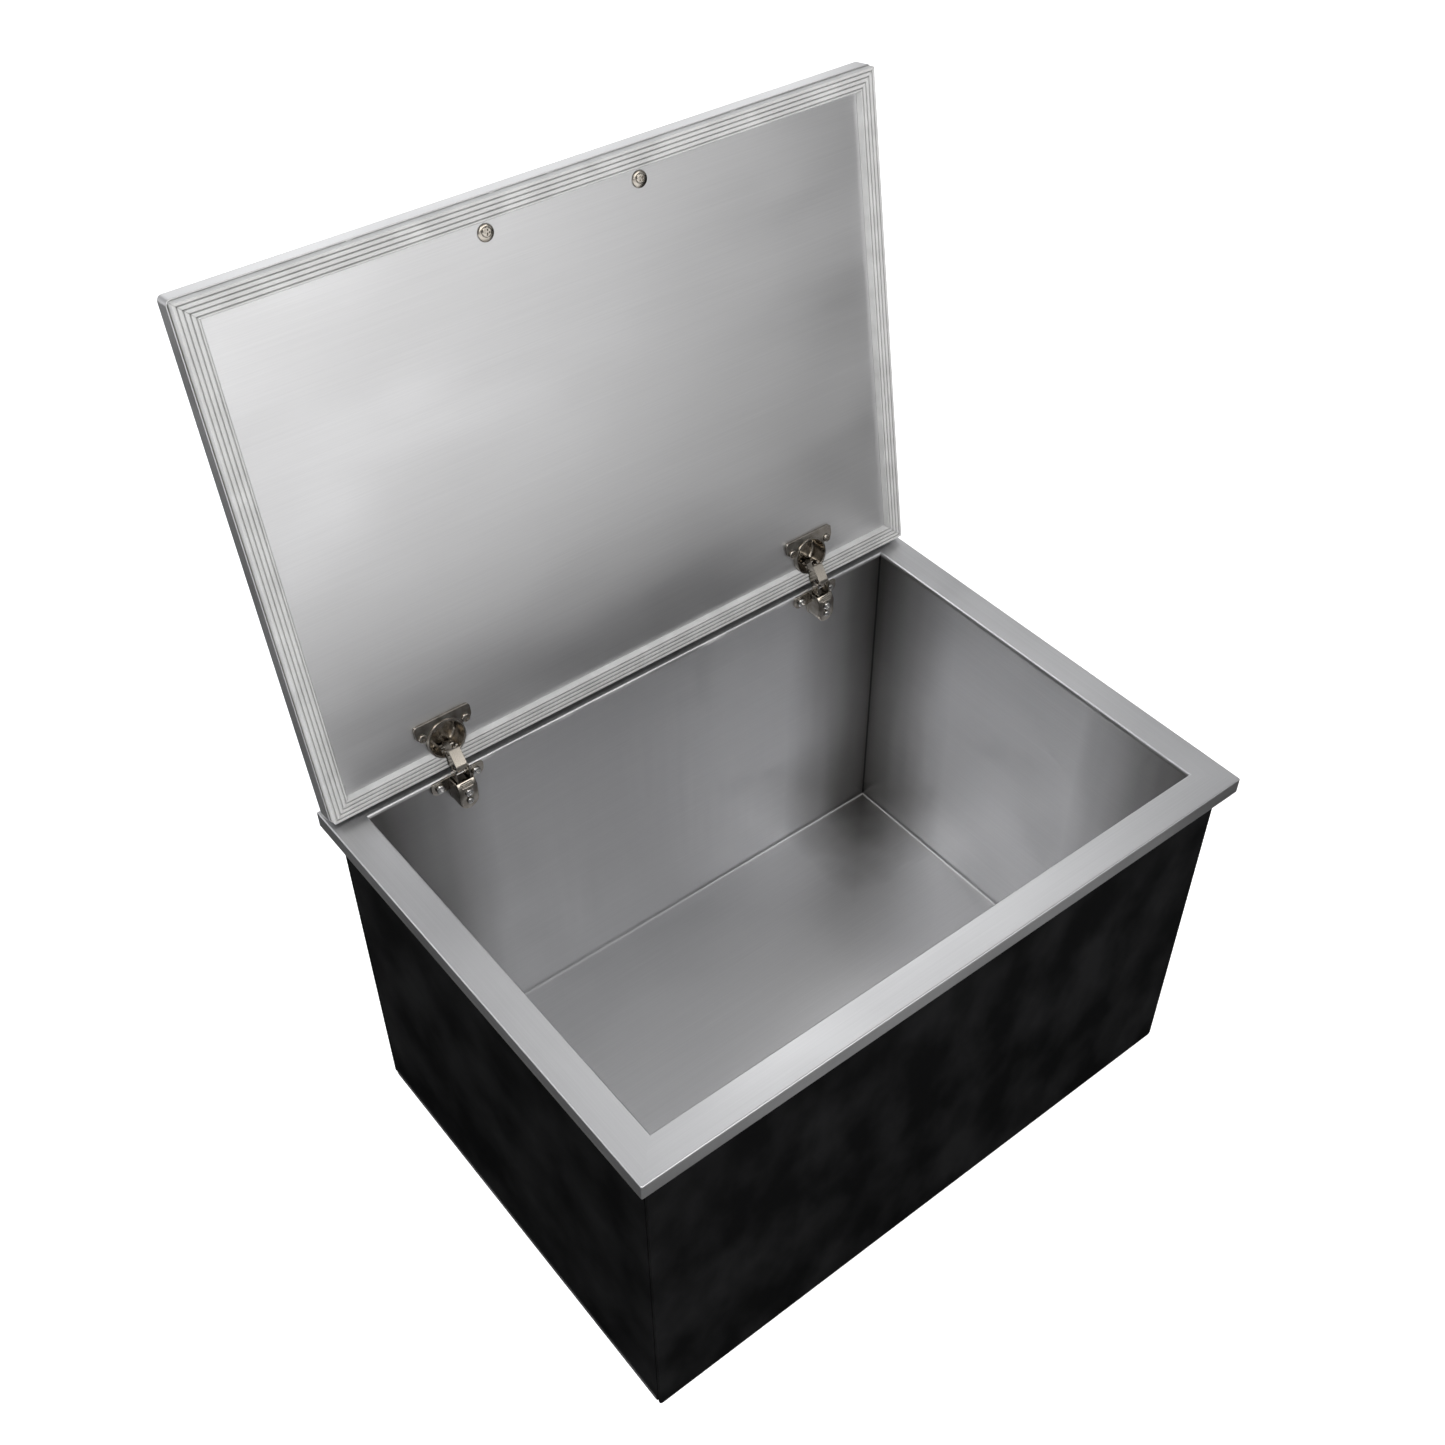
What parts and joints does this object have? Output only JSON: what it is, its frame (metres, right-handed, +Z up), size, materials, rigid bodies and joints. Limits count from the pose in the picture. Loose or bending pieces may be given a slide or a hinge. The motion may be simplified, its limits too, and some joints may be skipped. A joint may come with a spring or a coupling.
{
  "type": "drop in ice bin",
  "caption": "Insulated stainless bin that drops into a counter by its flange, with a hinged insulated lid, ribbed gasket, cup hinges and a floor drain.",
  "frame": {"origin": "underside of the base, below the middle of the flange", "axes": "+X along the front to the right, +Y from the front to the hinge side, +Z up; the lid stands open"},
  "size_m": [0.575, 0.5043, 0.7361],
  "materials": {
    "sheet_steel": "brushed along the length, satin",
    "hinge_steel": "pressed and tumbled, half bright",
    "fitting_steel": "turned and polished",
    "screw_steel": "bright",
    "jacket": "matte black",
    "gasket": "matte light grey, ribbed",
    "seal": "matte black",
    "foam": "rigid foam"
  },
  "bodies": {
    "bin": {"basin_and_flange": "sheet_steel", "drain_body": "fitting_steel", "drain_gasket": "seal", "drain_locknut": "fitting_steel", "hinge_adjusting_screw_left": "screw_steel", "hinge_adjusting_screw_right": "screw_steel", "hinge_arm_fork_pin_left": "hinge_steel", "hinge_arm_fork_pin_right": "hinge_steel", "hinge_arm_left": "hinge_steel", "hinge_arm_link_pin_left": "hinge_steel", "hinge_arm_link_pin_right": "hinge_steel", "hinge_arm_right": "hinge_steel", "hinge_mounting_plate_left": "hinge_steel", "hinge_mounting_plate_right": "hinge_steel", "hinge_mounting_screw_left_inner": "screw_steel", "hinge_mounting_screw_left_outer": "screw_steel", "hinge_mounting_screw_right_inner": "screw_steel", "hinge_mounting_screw_right_outer": "screw_steel", "hinge_nut_plate_left": "hinge_steel", "hinge_nut_plate_right": "hinge_steel", "hinge_slot_screw_left": "screw_steel", "hinge_slot_screw_right": "screw_steel", "insulation_back": "foam", "insulation_floor": "foam", "insulation_front": "foam", "insulation_left": "foam", "insulation_right": "foam", "jacket_back": "jacket", "jacket_base": "jacket", "jacket_front": "jacket", "jacket_left": "jacket", "jacket_right": "jacket"},
    "outer_links": {"outer_link_left": "hinge_steel", "outer_link_right": "hinge_steel"},
    "inner_links": {"inner_link_left": "hinge_steel", "inner_link_right": "hinge_steel"},
    "lid": {"cup_screw_left_inner": "screw_steel", "cup_screw_left_outer": "screw_steel", "cup_screw_right_inner": "screw_steel", "cup_screw_right_outer": "screw_steel", "gasket_front": "gasket", "gasket_left": "gasket", "gasket_rear": "gasket", "gasket_right": "gasket", "handle_cup_washer_left": "screw_steel", "handle_cup_washer_right": "screw_steel", "handle_screw_left": "screw_steel", "handle_screw_right": "screw_steel", "hinge_cup_fork_pin_left": "hinge_steel", "hinge_cup_fork_pin_right": "hinge_steel", "hinge_cup_left": "hinge_steel", "hinge_cup_right": "hinge_steel", "lid_handle": "fitting_steel", "lid_inner_panel": "sheet_steel", "lid_insulation": "foam", "lid_pan": "sheet_steel"},
    "drain_strainer_body": {"drain_strainer": "fitting_steel"}
  },
  "joints": [
    {"name": "outer_link_turn", "type": "hinge", "parent": "bin", "child": "outer_links", "pos_m": [0, 0.17222, 0.33265], "axis": [1, 0, 0], "range_deg": [-50.01, 0]},
    {"name": "inner_link_turn", "type": "hinge", "parent": "bin", "child": "inner_links", "pos_m": [0, 0.1695, 0.34], "axis": [1, 0, 0], "range_deg": [-22.23, 0]},
    {"name": "lid_hinge", "type": "hinge", "parent": "outer_links", "child": "lid", "pos_m": [0, 0.18404, 0.3479], "axis": [1, 0, 0], "range_deg": [0, 150]},
    {"name": "strainer_lift", "type": "slide", "parent": "bin", "child": "drain_strainer_body", "axis": [0, 0, 1], "range_m": [0, 0.1]}
  ],
  "couplings": [
    {"joint": "outer_link_turn", "follows": "lid_hinge", "ratio": -0.33333},
    {"joint": "inner_link_turn", "follows": "lid_hinge", "ratio": -0.14807}
  ]
}
